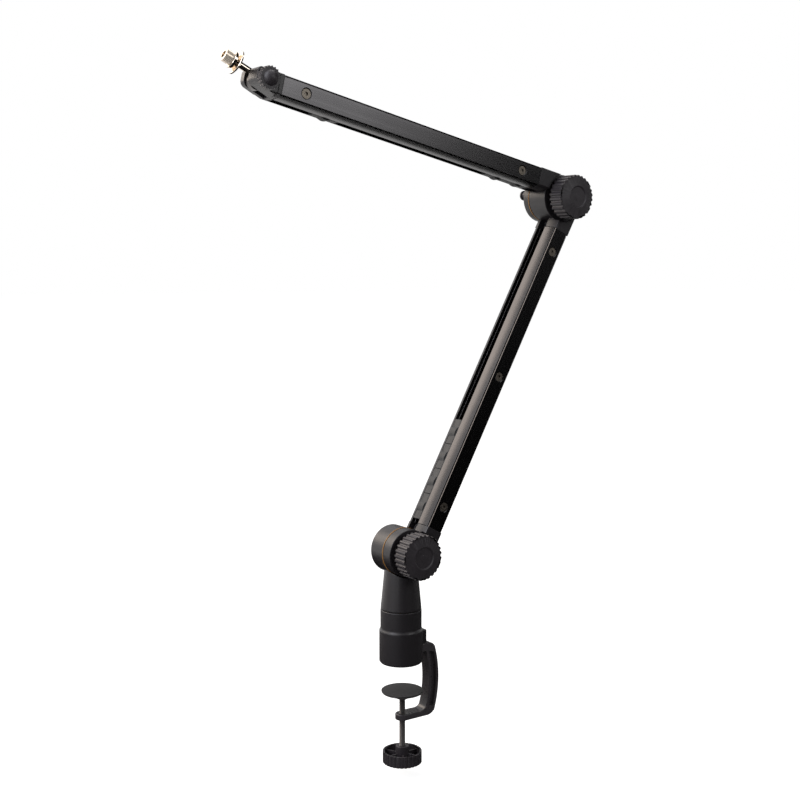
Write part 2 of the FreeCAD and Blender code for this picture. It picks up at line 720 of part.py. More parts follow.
def lower_arm():
    tube("lower_tube", "lower_start", LOWER_END, LOWER_SCREWS, "lower")
    node("lower_base_cap", cut(
        fuse(cut(section(0.0, "lower_start"),
                 rod("w", CHEEK, "-arm_far - 1", BASE_HUB),
                 rod("w", CHEEK, "drum_front", "arm_near + 1")),
             rod("w", "drum_radius", BASE_HUB, "drum_front"),
             plug("lower_start - 0.01", "lower_start + plug_length")),
        channel("drum_radius", "lower_start"),
        running_bore(), screw_hole(LOWER_SCREWS[0])), "lower")
    node("lower_elbow_cap", cut(
        fuse(cut(section("-lower_stop", 0.0), rod("w", CHEEK, "drum_front", "arm_near + 1")),
             rod("w", "drum_radius", "-arm_far", "drum_front"),
             plug("-lower_stop - plug_length", "0.01 - lower_stop")),
        channel("-lower_stop", "-drum_radius"),
        running_bore(), screw_hole("-lower_stop - screw_inset")), "lower_top")
    node("lower_mid_block", cut(plug(past(LOWER_MID, "-block_half"), past(LOWER_MID, "block_half")),
                                screw_hole(LOWER_MID)), "lower")
    for number, x in enumerate(LOWER_SCREWS, start=1):
        side_screw("lower_screw_%d" % number, x, "lower")
    for number in range(LOWER_CLIPS):
        clip("lower_clip_%d" % (number + 1),
             "lower_start + clip_start + (clip_length + clip_gap) * %d" % number, "lower")


def upper_arm():
    tube("upper_tube", "upper_start", UPPER_END, UPPER_SCREWS, "upper")
    rear_bar = cut(block(0.0, "upper_start", "-drum_rear", "-arm_far", "arm_wall - arm_back", "-step_level"),
                   rod("w", CHEEK, ELBOW_DISC, "1 - arm_far"))
    node("upper_elbow_cap", cut(
        fuse(cut(section(0.0, "upper_start"), rod("w", CHEEK, "-arm_far - 1", "arm_near + 1")),
             rear_bar,
             rod("w", "drum_radius", "-drum_rear", ELBOW_DISC),
             plug("upper_start - 0.01", "upper_start + plug_length")),
        channel("drum_radius", "upper_start"),
        rod("w", "bolt_radius", "-drum_rear - 1", "-arm_far + 1"),
        hexagon("w", "bolt_hex", "-drum_rear - 1", "bolt_head + head_sunk - drum_rear"),
        screw_hole(UPPER_SCREWS[0])), "upper")
    node("cable_peg", fuse(
        rod("w", "peg_radius", "-drum_rear - peg_length", "-drum_rear", "peg_offset", 0.0),
        rod("w", "peg_head", "-drum_rear - peg_length - peg_rim", "-drum_rear - peg_length",
            "peg_offset", 0.0)),
        "upper")
    for number, x in enumerate(UPPER_SCREWS, start=1):
        side_screw("upper_screw_%d" % number, x, "upper")
    first = "upper_start + clip_gap"
    stations = (first, past(first, "clip_length + clip_gap"), past(UPPER_END, "-tip_clip_back"))
    for number, x in enumerate(stations, start=1):
        clip("upper_clip_%d" % number, x, "upper")


def microphone_end():
    """Fork, pin, stem, lock ring, thread adapter and the small knob."""
    pin = ("tip_reach", "-tip_drop")
    nose = "tip_reach + fork_nose"
    sides = ("-arm_far - 1", "arm_near + 1")
    fork = doc.addObject("Part::Wedge", "fork")
    fork.Placement = FreeCAD.Placement(FreeCAD.Vector(), FreeCAD.Rotation(FreeCAD.Vector(0, 0, 1), -90))
    wedge = {"Xmin": sides[0], "Xmax": sides[1], "Ymin": UPPER_END, "Ymax": nose, "Zmin": "-arm_back",
             "Zmax": "crown_top", "X2min": sides[0], "X2max": sides[1], "Z2min": "-arm_back",
             "Z2max": "crown_top - (upper_stop + fork_nose) * tan(fork_slope * 1deg)"}
    for corner, value in wedge.items():
        drive(fork, corner, value)
    inner = past(nose, "-fork_corner")
    back = past(nose, "-fork_back_corner")
    low = wedge["Z2max"] + " + fork_corner * (tan(fork_slope * 1deg) - 1 / cos(fork_slope * 1deg))"
    corners = (
        cut(block(back, past(nose, 1), *sides, "-arm_back - 1", "fork_back_corner - arm_back"),
            rod("w", "fork_back_corner", "-arm_far - 2", "arm_near + 2",
                back, "fork_back_corner - arm_back")),
        cut(block(past(inner, "fork_corner * sin(fork_slope * 1deg)"), past(nose, 1), *sides, low,
                  past(low, "fork_corner + 1")),
            rod("w", "fork_corner", "-arm_far - 2", "arm_near + 2", inner, low)),
    )
    node("upper_tip_cap", cut(
        fuse(cut(common(section(UPPER_END, nose), fork), *corners),
             plug(past(UPPER_END, "-plug_length"), past(UPPER_END, 0.01))),
        block(past(UPPER_END, "fork_root"), past(nose, 1), "-fork_slot_far", "fork_slot_near",
              "-arm_back - 1", "crown_top + 1"),
        band(past(UPPER_END, "band_width")),
        *steps(UPPER_END, nose),
        rod("w", "tip_bolt_radius", "-arm_far - 1", "arm_near + 1", *pin),
        hexagon("w", "tip_hex", "-arm_far - 1", "head_sunk + tip_head - arm_far", *pin),
        screw_hole(UPPER_SCREWS[1])), "upper")
    node("tip_bolt", fuse(
        hexagon("w", "tip_hex", "head_sunk - arm_far", "head_sunk + tip_head - arm_far", *pin),
        rod("w", "tip_bolt_radius", "tip_head - arm_far", "arm_near + tip_bolt_end", *pin)), "upper")
    node("tip_washer_far", washer("tip_washer_radius", "tip_bolt_radius", "-fork_slot_far",
                                  "tip_washer - fork_slot_far", *pin), "upper")
    node("tip_washer_near", washer("tip_washer_radius", "tip_bolt_radius", "fork_slot_near - tip_washer",
                                   "fork_slot_near", *pin), "upper")
    axis = ("(fork_slot_near - fork_slot_far) / 2", "stem_radius - eye_radius")
    node("tip_stem", cut(
        fuse(rod("w", "eye_radius", "tip_washer + run_gap - fork_slot_far",
                 "fork_slot_near - tip_washer - run_gap"),
             rod("x", "stem_radius", 0.0, "stud_start + 1", *axis),
             rod("x", "stud_radius", "stud_start", "stud_start + stud_length", *axis)),
        rod("w", "tip_bolt_radius + bolt_fit", "-fork_slot_far", "fork_slot_near")), "tip")
    ring_end = "ring_at + ring_thick"
    rim_low = "ring_at + ring_thick + adapter_gap"
    rim_high = past(rim_low, "adapter_rim")
    end = past(rim_high, "thread_length")
    node("lock_ring", cut(rod("x", "ring_radius", "ring_at", ring_end, *axis),
                          rod("x", "stud_radius + bolt_fit", "ring_at - 1", past(ring_end, 1), *axis)), "tip")
    node("mic_adapter", cut(
        fuse(rod("x", "adapter_flange", rim_low, rim_high, *axis),
             rod("x", "thread_radius", past(rim_high, -0.5), end, *axis)),
        rod("x", "stud_radius + bolt_fit", past(rim_low, -1), past(end, 1), *axis)), "tip")
    at = (PIN_X, PIN_Z)
    back = "arm_near + tip_knob_lift"
    front = past(back, "tip_knob_height")
    grip = fluted("tip_teeth", "tip_knob_radius", "tip_knob_height", TIP_FLUTES,
                  "tip_flute", "tip_flute_depth")
    teeth = put(grip, (PIN_X, minus(back), PIN_Z), "w")
    ball = doc.addObject("Part::Sphere", "ball")
    dome_sphere = "(dome_radius^2 + dome_height^2) / (2 * dome_height)"
    drive(ball, "Radius", dome_sphere)
    put(ball, (PIN_X, minus(past(front, "dome_height - " + dome_sphere)), PIN_Z))
    dome = common(rod("w", "dome_radius", past(front, -1), past(front, "dome_height + 1"), *at), ball)
    nut_high = past(back, "tip_nut_thick")
    node("tip_knob", cut(
        fuse(teeth, dome),
        rod("w", "tip_bolt_radius + bolt_fit", "arm_near", "arm_near + tip_bolt_end + 0.3", *at),
        hexagon("w", "tip_hex", "arm_near", nut_high, *at)))
    node("tip_knob_nut", cut(hexagon("w", "tip_hex", back, nut_high, *at),
                             rod("w", "tip_bolt_radius + bolt_fit", "arm_near", past(nut_high, 1), *at)))


clamp_body()
clamp_screw()
post()
pivot("base", "base_split", "base", (0.0, "pivot_height"))
pivot("elbow", ELBOW_DISC, "upper", (ELBOW_X, ELBOW_Z))
lower_arm()
upper_arm()
microphone_end()

doc.recompute()
problems = []
for obj in doc.Objects:
    if "Invalid" in obj.State or "Error" in obj.State:
        problems.append("%s: %s" % (obj.Label, obj.State))
for name, obj in nodes:
    shape = obj.Shape
    if shape.isNull():
        problems.append(name + ": no shape")
    elif not shape.isValid() or len(shape.Solids) != 1:
        problems.append("%s: valid %s, solids %d" % (name, shape.isValid(), len(shape.Solids)))
if problems:
    print("\n".join(problems))
    sys.exit(1)
os.makedirs("parts", exist_ok=True)
for name, obj in nodes:
    obj.Shape.exportStep("parts/%s.step" % name)
print("wrote %d parts" % len(nodes))
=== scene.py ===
"""Looks of a desk-clamped microphone boom arm, laid over its fixed frame."""
import json
import math

import bmesh
import bpy
from mathutils import Matrix, Vector
from mathutils.bvhtree import BVHTree
from mathutils.geometry import intersect_point_line
from mathutils.kdtree import KDTree


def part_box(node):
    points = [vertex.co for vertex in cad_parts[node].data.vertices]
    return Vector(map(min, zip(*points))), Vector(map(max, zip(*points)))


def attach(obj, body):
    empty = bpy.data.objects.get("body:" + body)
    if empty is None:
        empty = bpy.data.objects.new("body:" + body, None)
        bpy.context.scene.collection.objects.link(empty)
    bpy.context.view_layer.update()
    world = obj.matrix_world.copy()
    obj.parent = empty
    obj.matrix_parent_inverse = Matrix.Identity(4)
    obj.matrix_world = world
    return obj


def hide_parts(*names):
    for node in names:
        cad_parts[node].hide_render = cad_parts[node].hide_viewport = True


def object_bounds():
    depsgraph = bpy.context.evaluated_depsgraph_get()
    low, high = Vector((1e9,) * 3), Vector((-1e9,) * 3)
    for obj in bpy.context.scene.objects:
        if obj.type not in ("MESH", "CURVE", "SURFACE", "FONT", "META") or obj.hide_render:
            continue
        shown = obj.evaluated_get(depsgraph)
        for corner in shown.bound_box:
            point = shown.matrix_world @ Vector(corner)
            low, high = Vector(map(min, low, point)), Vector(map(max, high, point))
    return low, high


bl_info = {
    "name": "Microphone Boom Arm",
    "version": (1, 0, 0),
    "blender": (4, 5, 0),
    "location": "View3D > Sidebar > Boom Arm",
    "description": "Dresses a desk-clamped microphone boom arm with finishes, threads and rounded edges",
    "category": "Object",
}

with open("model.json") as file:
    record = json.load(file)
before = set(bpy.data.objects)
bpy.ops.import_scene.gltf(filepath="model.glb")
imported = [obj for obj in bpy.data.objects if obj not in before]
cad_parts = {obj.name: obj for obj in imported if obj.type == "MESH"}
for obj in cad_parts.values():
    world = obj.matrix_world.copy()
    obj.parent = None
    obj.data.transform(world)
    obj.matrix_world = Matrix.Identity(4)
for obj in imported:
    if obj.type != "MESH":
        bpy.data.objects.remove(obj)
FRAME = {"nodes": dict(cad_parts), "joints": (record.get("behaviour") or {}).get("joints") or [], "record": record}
CAD_BOX = [list(corner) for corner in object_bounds()]
MM = 0.001
RECORD = FRAME["record"]
NODE_SLOT = {row["node"]: row["material_slot"] for row in RECORD["subparts"]}
NODE_BODY = {node: body for body, nodes in RECORD["behaviour"]["bodies"].items() for node in nodes}
JOINTS = {joint["name"]: joint for joint in FRAME["joints"]}
MOUNTS = {mount["name"]: mount for mount in RECORD["mounts"]}

# each tube with the joints at its two ends and a clip that sits in its slot
TUBES = {"lower_tube": ("base_pitch", "elbow_pitch", "lower_clip_1"),
         "upper_tube": ("elbow_pitch", "tip_tilt", "upper_clip_1")}
# the castings, and the clamp's pad and liner, which are rounded like them
CASTINGS = ("lower_base_cap", "lower_elbow_cap", "upper_elbow_cap", "upper_tip_cap", "cable_peg", "post",
            "clamp_collar", "clamp_bracket", "clamp_pad", "pad_liner")
KNOBS = ("base_knob", "elbow_knob", "tip_knob", "clamp_grip")
PIVOT_BOLTS = ("base_bolt", "elbow_bolt", "tip_bolt")
# what the names of the side screws and of the cable clips have in them
SIDE_SCREW = "_screw_"
CABLE_CLIP = "_clip_"

# edges that turn by more than this are sharp
SHARP = math.radians(32)
# points closer than this are one point, and faces that turn by less than this are one face
WELD = 0.001 * MM
FLAT = math.radians(0.5)


def linear(hex_colour):
    """A linear RGBA colour from an sRGB hex value."""
    parts = [int(hex_colour[i:i + 2], 16) / 255 for i in (1, 3, 5)]
    return tuple(c / 12.92 if c <= 0.04045 else ((c + 0.055) / 1.055) ** 2.4 for c in parts) + (1.0,)


def colour_property(label, what, hex_colour):
    return bpy.props.FloatVectorProperty(name=label, description=what, subtype="COLOR", size=4,
                                         min=0.0, max=1.0, default=linear(hex_colour))


def length_property(label, what, millimetres):
    return bpy.props.FloatProperty(name=label, description=what, subtype="DISTANCE", unit="LENGTH",
                                   min=0.0, precision=5, default=millimetres * MM)


def power_property(label, what, watts):
    return bpy.props.FloatProperty(name=label, description=what, unit="POWER", min=0.0, default=watts)


class BoomFinishes(bpy.types.PropertyGroup):
    """Colours of the arm's materials."""
    anodised: colour_property("Anodised black", "Extruded arm tubes", "#464546")
    powder: colour_property("Powder coat", "Cast caps, post and collar", "#1e1b1e")
    enamel: colour_property("Enamel", "Bowed clamp bracket", "#383538")
    knob: colour_property("Knob plastic", "Hand knobs and grip", "#2b272b")
    clip: colour_property("Clip plastic", "Cable clips", "#2b2b2c")
    oxide: colour_property("Black oxide", "Clamp pad and clamp screw", "#5a5756")
    screw: colour_property("Burnished steel", "Heads of the side screws", "#7d766d")
    zinc: colour_property("Zinc", "Bolts, nuts and washers", "#b4b5b8")
    amber: colour_property("Amber nylon", "Friction discs and bushes", "#a8793f")
    rubber: colour_property("Rubber", "Jaw pad and pad liner", "#1c1c1d")
    nickel: colour_property("Nickel", "Stem, lock ring and adapter", "#c9beb0")


class BoomDetails(bpy.types.PropertyGroup):
    """Sizes of the fine details."""
    cast_edge: length_property("Cast edge", "Rounding of the castings' edges", 1.1)
    tube_edge: length_property("Tube edge", "Rounding of the extrusion's fine edges", 0.4)
    back_corner: length_property("Back corner", "Rounding of the extrusion's two back corners", 3.2)
    shoulder: length_property("Shoulder", "Rounding of the steps beside the crown", 0.25)
    ledge_width: length_property("Ledge width", "Reach of the rails under the clips", 2.6)
    ledge_thick: length_property("Ledge thickness", "Thickness of those rails", 1.2)
    knob_edge: length_property("Knob edge", "Rounding of the knobs' teeth", 0.35)
    clip_edge: length_property("Clip edge", "Rounding of the cable clips", 0.6)
    screw_edge: length_property("Screw edge", "Rounding of the screws, the bolts and the stem", 0.2)
    clamp_pitch: length_property("Clamp screw pitch", "Pitch of the clamp screw", 1.25)
    clamp_depth: length_property("Clamp screw depth", "Depth of that screw's thread", 0.5)
    clamp_screw: length_property("Clamp screw radius", "Outside radius of the clamp screw", 4.0)
    button_radius: length_property("Button radius", "Head of the clamp screw inside the pad", 6.0)
    button_height: length_property("Button height", "Height of that head", 2.2)


class BoomEnd(bpy.types.PropertyGroup):
    """Sizes of the lock ring and the microphone adapter."""
    pitch: length_property("Adapter pitch", "Pitch of a thread of 27 turns per inch", 0.94)
    depth: length_property("Thread depth", "Depth of the adapter's thread", 0.25)
    bore: length_property("Bore", "Radius of the tapped bore", 4.82)
    flange: length_property("Flange radius", "Radius of the adapter's flange", 10.5)
    rim: length_property("Flange thickness", "Thickness of the adapter's flange", 4.0)
    gap: length_property("Ring gap", "From the lock ring to the flange", 2.3)
    ring: length_property("Ring radius", "Radius of the lock ring", 14.7)
    ring_thick: length_property("Ring thickness", "Thickness of the lock ring", 2.2)
    chamfer: length_property("Chamfer", "Broken edge of the turned pieces", 0.35)
    knurl_depth: length_property("Knurl depth", "Depth of the lock ring's knurl", 0.3)
    knurls: bpy.props.IntProperty(name="Knurls", description="Knurls round the lock ring", min=12,
                                  default=60)


class BoomStage(bpy.types.PropertyGroup):
    """The floor's colour and the power of the lamps."""
    floor: colour_property("Floor", "Pale floor", "#ffffff")
    back: power_property("Back", "Power of the warm softbox at the back left", 62.0)
    left: power_property("Left", "Power of the cool softbox at the left", 30.0)
    top: power_property("Top", "Power of the softbox overhead", 10.0)
    front: power_property("Front", "Power of the softbox at the front right", 12.5)


# the colour mixer's sockets, by number because their names repeat
MIX_SHARE = 0
MIX_FIRST = 6
MIX_SECOND = 7
MIX_RESULT = 2
# the part of a noise's range that most of its grain falls in
GRAIN_SPAN = (0.3, 0.7)
BUMP_HEIGHT = 0.2 * MM
PATCH_DETAIL = 3.0
GRAIN_DETAIL = 2.0
# how many times longer than wide a die line is
DIE_LINE_STRETCH = 300.0


def add(tree, kind, inputs=None, **settings):
    """Add a node with its settings, and set or link its inputs."""
    node = tree.nodes.new(kind)
    for key, value in settings.items():
        setattr(node, key, value)
    for key, value in (inputs or {}).items():
        if isinstance(value, bpy.types.NodeSocket):
            tree.links.new(value, node.inputs[key])
        else:
            node.inputs[key].default_value = value
    return node


def shade(colour, share):
    """A colour made darker or lighter."""
    return tuple(min(1.0, c * share) for c in colour[:3]) + (1.0,)


def noise(tree, place, size, detail):
    """A noise whose grain is this many millimetres wide."""
    return add(tree, "ShaderNodeTexNoise",
               {"Vector": place, "Scale": 1.0 / (size * MM), "Detail": detail}).outputs["Fac"]


def surface(name, colour, spread, patch, grain, rough, bump, lines=None, **sockets):
    """A material with soft patches of two tones, and a grain that breaks up its gloss and its level.

    The spread gives the two tones as shares of the colour, and patch and grain are in millimetres.
    With lines, an angle in the XZ plane, the grain is drawn out along it.
    """
    material = bpy.data.materials.new(name)
    material.use_nodes = True
    tree = material.node_tree
    tree.nodes.clear()
    place = add(tree, "ShaderNodeTexCoord").outputs["Object"]
    clouds = noise(tree, place, patch, PATCH_DETAIL)
    if lines is not None:
        laid = add(tree, "ShaderNodeMapping", {"Vector": place, "Rotation": (0.0, lines, 0.0)})
        drawn = add(tree, "ShaderNodeMapping", {"Vector": laid.outputs["Vector"],
                                                "Scale": (1.0 / DIE_LINE_STRETCH, 1.0, 1.0)})
        place = drawn.outputs["Vector"]
    fine = noise(tree, place, grain, GRAIN_DETAIL)
    dark, light = (shade(colour, share) for share in spread)
    tone = add(tree, "ShaderNodeMix", {MIX_SHARE: clouds, MIX_FIRST: dark, MIX_SECOND: light},
               data_type="RGBA")
    gloss = add(tree, "ShaderNodeMapRange", {"Value": fine,
                                             "From Min": GRAIN_SPAN[0], "From Max": GRAIN_SPAN[1],
                                             "To Min": rough[0], "To Max": rough[1]})
    level = add(tree, "ShaderNodeBump", {"Height": fine, "Strength": bump, "Distance": BUMP_HEIGHT})
    shader = add(tree, "ShaderNodeBsdfPrincipled", {"Base Color": tone.outputs[MIX_RESULT],
                                                    "Roughness": gloss.outputs["Result"],
                                                    "Normal": level.outputs["Normal"], **sockets})
    add(tree, "ShaderNodeOutputMaterial", {"Surface": shader.outputs["BSDF"]})
    return material


def anodised_aluminium(name, colour, slope):
    # black anodised extrusion: a dark satin metal, with die lines that run along the arm;
    # real lines are 0.1 mm apart and wouldn't show, so they are drawn 1.6 mm apart
    return surface(name, colour, spread=(0.85, 1.12), patch=60.0, grain=1.6, rough=(0.24, 0.29),
                   bump=0.004, lines=slope, Metallic=1.0)


def powder_coat(colour):
    # polyester powder on die-cast aluminium: a deep satin charcoal with a fine orange peel
    return surface("powder_coated_casting", colour, spread=(0.85, 1.2), patch=25.0, grain=1.1,
                   rough=(0.37, 0.47), bump=0.05)


def gloss_enamel(colour):
    # stoved enamel on a cast bracket: smooth and wetter than the powder coat
    return surface("stoved_enamel", colour, spread=(0.9, 1.15), patch=30.0, grain=2.5,
                   rough=(0.26, 0.34), bump=0.04)


def moulded_abs(colour):
    # ABS from a spark-eroded mould: a dry, even speckle
    return surface("moulded_abs", colour, spread=(0.8, 1.3), patch=8.0, grain=0.8,
                   rough=(0.40, 0.56), bump=0.22)


def moulded_nylon(colour):
    # nylon clips: smoother than the knobs, and more matt
    return surface("moulded_nylon", colour, spread=(0.85, 1.15), patch=12.0, grain=0.8,
                   rough=(0.56, 0.68), bump=0.12)


def black_oxide_steel(colour):
    # chemically blackened steel: dark, with a dull metallic sheen
    return surface("black_oxide_steel", colour, spread=(0.75, 1.2), patch=6.0, grain=0.6,
                   rough=(0.30, 0.42), bump=0.06, Metallic=0.6)


def burnished_steel(colour):
    # oxide rubbed off by the driver: a warm grey metal, cloudy on the head
    return surface("burnished_steel", colour, spread=(0.7, 1.15), patch=2.5, grain=0.5,
                   rough=(0.40, 0.52), bump=0.04, Metallic=1.0)


def zinc_plate(colour):
    # zinc plated steel: pale and slightly cloudy
    return surface("zinc_plated_steel", colour, spread=(0.85, 1.1), patch=5.0, grain=0.7,
                   rough=(0.24, 0.36), bump=0.05, Metallic=1.0)


def amber_nylon(colour):
    # cast nylon discs: amber and waxy
    return surface("amber_nylon", colour, spread=(0.85, 1.1), patch=10.0, grain=0.9,
                   rough=(0.38, 0.48), bump=0.06)


def nitrile_rubber(colour):
    # moulded nitrile: matt, with a little dust in its grain
    return surface("nitrile_rubber", colour, spread=(0.85, 1.3), patch=9.0, grain=0.6,
                   rough=(0.62, 0.80), bump=0.2)


def nickel_plate(colour):
    # bright nickel on turned brass: a warm mirror with a faint grain
    return surface("nickel_plate", colour, spread=(0.95, 1.03), patch=8.0, grain=0.5,
                   rough=(0.10, 0.17), bump=0.02, Metallic=1.0)


MATERIALS = {}


def arm_angle(tube):
    """The slope of a tube in the XZ plane, from its longest edge, seen from its root joint."""
    root, end, _ = TUBES[tube]
    reach = Vector(JOINTS[end]["pos_m"]) - Vector(JOINTS[root]["pos_m"])
    work = merged_copy(tube)
    longest = max(work.edges, key=lambda edge: edge.calc_length())
    line = longest.verts[1].co - longest.verts[0].co
    work.free()
    line *= math.copysign(1.0, line.dot(reach))
    return math.atan2(line.z, line.x)


def finish_set(tones):
    """A material for each of the record's slots, and for the pieces whose finish differs within a slot."""
    finishes = {}
    for tube in TUBES:
        finishes[tube] = anodised_aluminium("anodised_" + tube, tones.anodised, arm_angle(tube))
    screws = burnished_steel(tones.screw)
    finishes.update({node: screws for node in NODE_BODY if SIDE_SCREW in node})
    finishes.update({
        "cast_black": powder_coat(tones.powder),
        "clamp_bracket": gloss_enamel(tones.enamel),
        "knob_plastic": moulded_abs(tones.knob),
        "clip_plastic": moulded_nylon(tones.clip),
        "black_steel": black_oxide_steel(tones.oxide),
        "plain_steel": zinc_plate(tones.zinc),
        "bearing_plastic": amber_nylon(tones.amber),
        "pad_rubber": nitrile_rubber(tones.rubber),
        "nickel": nickel_plate(tones.nickel),
    })
    return finishes


def material_for(node):
    return MATERIALS.get(node) or MATERIALS[NODE_SLOT[node]]


def place_piece(work, node, ending):
    """Turn a finished bmesh into a piece that stands for a frame node, on its body and with its finish."""
    name = node + ending
    mesh = bpy.data.meshes.new(name)
    work.to_mesh(mesh)
    work.free()
    mesh.materials.append(material_for(node))
    mesh.shade_smooth()
    mesh.set_sharp_from_angle(angle=SHARP)
    piece = bpy.data.objects.new(name, mesh)
    bpy.context.scene.collection.objects.link(piece)
    piece.modifiers.new("weighted_normals", "WEIGHTED_NORMAL").keep_sharp = True
    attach(piece, NODE_BODY[node])
    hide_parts(node)
    return piece


# how an edge is rounded, and the shares of its radius that are tried one after another
ROUND_SEGMENTS = 3
ROUND_SHARES = (1.0, 0.5, 0.25)
# the most points that are laid along one edge to find it by
MOST_MARKS = 400
# in shares of the rounding's radius: how near another edge crowds one, how far from the ends of an edge
# that is looked at, and the least distance that counts
CROWD_REACH = 2.3
CROWD_ENDS = 2.6
CROWD_LEAST = 0.3
# another edge lies alongside where more than this share of the way to it leads sideways
CROWD_SIDEWAYS = 0.55
# in shares of the radius: how high a spike stands, and how far round it edges stay sharp
SPIKE_HEIGHT = 0.45
SPIKE_REACH = 3
MOST_TRIES = 8


def sharp_edges(work):
    return [e for e in work.edges if len(e.link_faces) == 2 and e.calc_face_angle(0.0) > SHARP]


def edge_marks(edges, radius):
    """Points along the edges, close enough together to find one edge from beside another."""
    marks = []
    for edge in edges:
        start, end = (v.co for v in edge.verts)
        steps = max(1, min(MOST_MARKS, math.ceil((end - start).length / radius)))
        marks += [start.lerp(end, (step + 0.5) / steps) for step in range(steps)]
    tree = KDTree(len(marks))
    for index, mark in enumerate(marks):
        tree.insert(mark, index)
    tree.balance()
    return tree


def crowded(edge, tree, radius):
    """Whether another sharp edge runs alongside, too close for both to be rounded."""
    start, end = (v.co for v in edge.verts)
    line = (end - start).normalized()
    margin = min(0.5, CROWD_ENDS * radius / max((end - start).length, radius))
    for share in (margin, 0.5, 1.0 - margin):
        spot = start.lerp(end, share)
        for mark, _, distance in tree.find_range(spot, CROWD_REACH * radius):
            if (mark - spot).cross(line).length > CROWD_SIDEWAYS * max(distance, CROWD_LEAST * radius):
                return True
    return False


def bevel(work, edges, size):
    bmesh.ops.bevel(work, geom=edges, offset=size, offset_type="OFFSET", affect="EDGES",
                    segments=ROUND_SEGMENTS, profile=0.5, material=-1, clamp_overlap=False, loop_slide=False)


def away(edge, spots, reach):
    """Whether an edge keeps clear of some points."""
    start, end = (v.co for v in edge.verts)
    for spot in spots:
        _, share = intersect_point_line(spot, start, end)
        nearest = start.lerp(end, min(1.0, max(0.0, share)))
        if (nearest - spot).length < reach:
            return False
    return True


def rounded(work, size):
    """Round the sharp edges that have room, leaving out those whose rounding would throw up a spike."""
    edges = sharp_edges(work)
    tree = edge_marks(edges, size)
    free = [e for e in edges if not crowded(e, tree, size)]
    skin = BVHTree.FromBMesh(work)
    work.edges.index_update()
    for _ in range(MOST_TRIES):
        trial = work.copy()
        trial.edges.ensure_lookup_table()
        bevel(trial, [trial.edges[e.index] for e in free], size)
        found = [skin.find_nearest(v.co) for v in trial.verts]
        spikes = [spot for spot, _, _, distance in found if distance > SPIKE_HEIGHT * size]
        if not spikes:
            work.free()
            return trial
        trial.free()
        free = [e for e in free if away(e, spikes, SPIKE_REACH * size)]
    return work


def merged_copy(node):
    """A frame node's mesh with its points joined and its flat faces whole."""
    work = bmesh.new()
    work.from_mesh(FRAME["nodes"][node].data)
    bmesh.ops.remove_doubles(work, verts=work.verts, dist=WELD)
    bmesh.ops.dissolve_limit(work, angle_limit=FLAT, verts=work.verts, edges=work.edges)
    return work


def ease(node, radius, work=None):
    """Stand a copy in place of a frame node, with its edges rounded as far as there is room."""
    work = work or merged_copy(node)
    for share in ROUND_SHARES:
        work = rounded(work, radius * share)
    return place_piece(work, node, "_eased")


def turned(work, outline, steps):
    """Spin a closed outline of radii and levels round Z into a ring."""
    before = set(work.verts)
    verts = [work.verts.new((radius, 0.0, level)) for radius, level in outline]
    edges = [work.edges.new((a, b)) for a, b in zip(verts, verts[1:] + verts[:1])]
    bmesh.ops.spin(work, geom=verts + edges, cent=(0, 0, 0), axis=(0, 0, 1), angle=2 * math.pi, steps=steps,
                   use_merge=True)
    made = [v for v in work.verts if v not in before]
    bmesh.ops.remove_doubles(work, verts=made, dist=WELD)


# a thread's outline: the shares of a pitch at which its crest and its root begin and end
CREST = (0.0, 0.15)
ROOT = (0.5, 0.65)
THREAD_STEPS = 36
# turns past each end, which are cut off
SPARE_TURNS = 3
# neighbouring turns are joined where they meet within this share of a pitch
THREAD_WELD = 0.02


def cut_square(work, level, outward):
    """Cut a thread off at a level, and return its open rim there."""
    geom = work.verts[:] + work.edges[:] + work.faces[:]
    bmesh.ops.bisect_plane(work, geom=geom, plane_co=(0, 0, level), plane_no=outward, clear_outer=True)
    loose = [e for e in work.edges if e.is_boundary]
    return [e for e in loose if all(abs(v.co.z - level) < WELD for v in e.verts)]


def thread(work, radius, depth, pitch, low, high, bore=0.0):
    """A helical thread along Z between two levels, spun from a zigzag, cut square and closed."""
    turns = math.ceil((high - low) / pitch) + SPARE_TURNS + 1
    start = low - SPARE_TURNS * pitch
    zigzag = [(radius, share) for share in CREST] + [(radius - depth, share) for share in ROOT]
    verts = []
    for turn in range(turns):
        verts += [work.verts.new((across, 0.0, start + (turn + share) * pitch)) for across, share in zigzag]
    edges = [work.edges.new(pair) for pair in zip(verts, verts[1:])]
    bmesh.ops.spin(work, geom=verts + edges, cent=(0, 0, 0), axis=(0, 0, 1),
                   dvec=(0, 0, pitch / THREAD_STEPS), angle=2 * math.pi, steps=THREAD_STEPS, use_merge=False)
    bmesh.ops.remove_doubles(work, verts=work.verts, dist=THREAD_WELD * pitch)
    low_rim = cut_square(work, low, (0, 0, -1))
    high_rim = cut_square(work, high, (0, 0, 1))
    if bore:
        line_bore(work, bore, low, high, low_rim, high_rim)
    else:
        bmesh.ops.holes_fill(work, edges=low_rim, sides=0)
        bmesh.ops.holes_fill(work, edges=high_rim, sides=0)
    bmesh.ops.recalc_face_normals(work, faces=work.faces)


def line_bore(work, bore, low, high, low_rim, high_rim):
    """A round bore through a thread, joined to its two rims."""
    circle = bmesh.ops.create_circle(work, cap_ends=False, segments=THREAD_STEPS, radius=bore)["verts"]
    bmesh.ops.translate(work, verts=circle, vec=(0, 0, low))
    foot = list({e for v in circle for e in v.link_edges})
    raised = bmesh.ops.extrude_edge_only(work, edges=foot)["geom"]
    top = [v for v in raised if isinstance(v, bmesh.types.BMVert)]
    bmesh.ops.translate(work, verts=top, vec=(0, 0, high - low))
    head = [e for e in raised if isinstance(e, bmesh.types.BMEdge)]
    bmesh.ops.bridge_loops(work, edges=low_rim + foot)
    bmesh.ops.bridge_loops(work, edges=high_rim + head)


